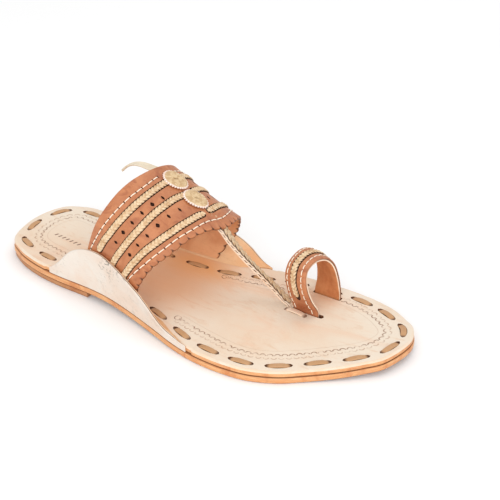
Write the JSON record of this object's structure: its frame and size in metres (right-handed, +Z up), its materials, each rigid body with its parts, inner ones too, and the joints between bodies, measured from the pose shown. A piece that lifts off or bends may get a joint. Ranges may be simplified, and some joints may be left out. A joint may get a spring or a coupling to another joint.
{
  "type": "leather toe-loop sandal",
  "caption": "Right leather sandal on a flat two-layer sole with a low heel lift, side ears, a braided and pierced instep strap, a centre thong and a big-toe loop.",
  "frame": {"origin": "middle of the footprint's bounding box, on the floor that the sandal stands on", "axes": "+Y towards the toes, +X towards the wearer's right (the outer side of this right shoe), +Z up"},
  "size_m": [0.1104, 0.288, 0.0849],
  "materials": {
    "sole_leather": "tan sole leather with a burnished edge",
    "insole_leather": "pale vegetable-tanned leather, tooled and slightly blotched",
    "ear_leather": "pale matt leather with a scuffed cut edge",
    "strap_leather": "warm tan leather with a low sheen",
    "rosette_leather": "straw-coloured leather with a pinked edge",
    "lace_leather": "olive-tan leather lace"
  },
  "bodies": {
    "root": {"outsole": "sole_leather", "heel_lift": "sole_leather", "insole": "insole_leather", "ear_lateral": "ear_leather", "ear_medial": "ear_leather", "upper": "strap_leather", "toe_loop": "strap_leather", "rosette_rear": "rosette_leather", "rosette_front": "rosette_leather", "lace_01": "lace_leather", "lace_02": "lace_leather", "lace_03": "lace_leather", "lace_04": "lace_leather", "lace_05": "lace_leather", "lace_06": "lace_leather", "lace_07": "lace_leather", "lace_08": "lace_leather", "lace_09": "lace_leather", "lace_10": "lace_leather", "lace_11": "lace_leather", "lace_12": "lace_leather", "lace_13": "lace_leather", "lace_14": "lace_leather", "lace_15": "lace_leather", "lace_16": "lace_leather", "lace_17": "lace_leather", "lace_18": "lace_leather", "lace_19": "lace_leather", "lace_20": "lace_leather", "lace_21": "lace_leather", "lace_22": "lace_leather", "lace_23": "lace_leather", "lace_24": "lace_leather", "lace_25": "lace_leather", "lace_26": "lace_leather", "lace_27": "lace_leather", "lace_anchor": "lace_leather"}
  },
  "joints": []
}
